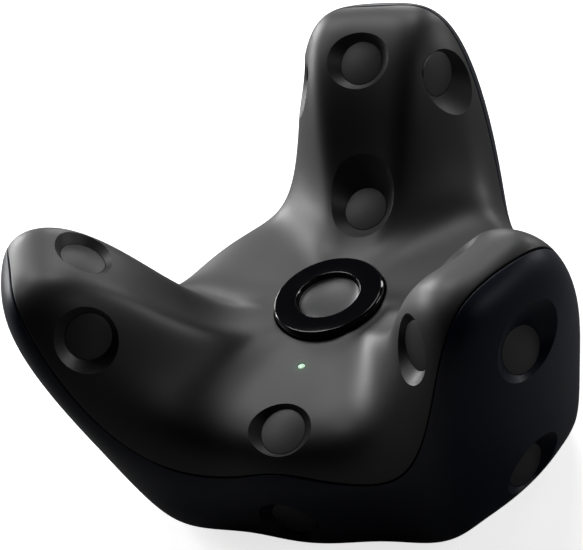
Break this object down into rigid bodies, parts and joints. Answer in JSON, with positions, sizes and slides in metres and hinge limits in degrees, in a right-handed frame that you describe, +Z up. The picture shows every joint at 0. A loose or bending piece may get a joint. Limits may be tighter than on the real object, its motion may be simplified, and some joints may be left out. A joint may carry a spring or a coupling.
{
  "type": "motion tracker",
  "caption": "Palm-size wearable motion tracker: a three-armed puck with round sensor dimples, a push button in its middle dish and a round tripod-thread base.",
  "frame": {"origin": "middle of the outline seen from above, on the friction pad's underside", "axes": "+X across the two side arms, +Y towards the rear arm, +Z up out of the dish"},
  "size_m": [0.0788, 0.0702, 0.0442],
  "materials": {
    "soft_black": "soft-touch matte",
    "navy_black": "fine satin, infrared-clear",
    "gloss_black": "polished",
    "cap_black": "satin",
    "window_black": "satin, infrared-clear",
    "circuit_green": "solder mask",
    "steel": "plain",
    "brass": "machined",
    "chip_black": "moulded",
    "ceramic": "plain",
    "tray_grey": "moulded",
    "cell_silver": "foil pouch",
    "pad_rubber": "textured",
    "light_clear": "clear, lit green"
  },
  "bodies": {
    "body": {"top_cover": "soft_black", "lower_housing": "navy_black", "tact_switch": "ceramic", "status_light_pipe": "light_clear", "status_led": "ceramic", "main_board": "circuit_green", "radio_shield": "steel", "main_processor": "chip_black", "motion_sensor": "chip_black", "antenna_left": "ceramic", "antenna_right": "ceramic", "usb_port": "steel", "battery_tray": "tray_grey", "battery_cell": "cell_silver", "base_plate": "soft_black", "friction_pad": "pad_rubber", "thread_insert": "brass", "contact_block": "chip_black", "screw_rear": "steel", "screw_left": "steel", "screw_right": "steel", "window_rear_arm_inner": "window_black", "sensor_rear_arm_inner": "circuit_green", "window_rear_arm_flank_a": "window_black", "sensor_rear_arm_flank_a": "circuit_green", "window_rear_arm_flank_b": "window_black", "sensor_rear_arm_flank_b": "circuit_green", "window_rear_arm_end": "window_black", "sensor_rear_arm_end": "circuit_green", "window_rear_arm_foot": "window_black", "sensor_rear_arm_foot": "circuit_green", "window_left_arm_inner": "window_black", "sensor_left_arm_inner": "circuit_green", "window_left_arm_flank_a": "window_black", "sensor_left_arm_flank_a": "circuit_green", "window_left_arm_flank_b": "window_black", "sensor_left_arm_flank_b": "circuit_green", "window_left_arm_end": "window_black", "sensor_left_arm_end": "circuit_green", "window_left_arm_foot": "window_black", "sensor_left_arm_foot": "circuit_green", "window_right_arm_inner": "window_black", "sensor_right_arm_inner": "circuit_green", "window_right_arm_flank_a": "window_black", "sensor_right_arm_flank_a": "circuit_green", "window_right_arm_flank_b": "window_black", "sensor_right_arm_flank_b": "circuit_green", "window_right_arm_end": "window_black", "sensor_right_arm_end": "circuit_green", "window_right_arm_foot": "window_black", "sensor_right_arm_foot": "circuit_green", "window_rear_root": "window_black", "sensor_rear_root": "circuit_green", "window_front_web": "window_black", "sensor_front_web": "circuit_green", "window_front_wall": "window_black", "sensor_front_wall": "circuit_green"},
    "button": {"power_button_ring": "gloss_black", "power_button_cap": "cap_black", "switch_plunger": "steel"}
  },
  "joints": [
    {"name": "power_button_press", "type": "slide", "parent": "body", "child": "button", "axis": [0, 0, -1], "range_m": [0, 0.0005], "stiffness_N_per_m": 600, "springref_m": -0.0004}
  ]
}
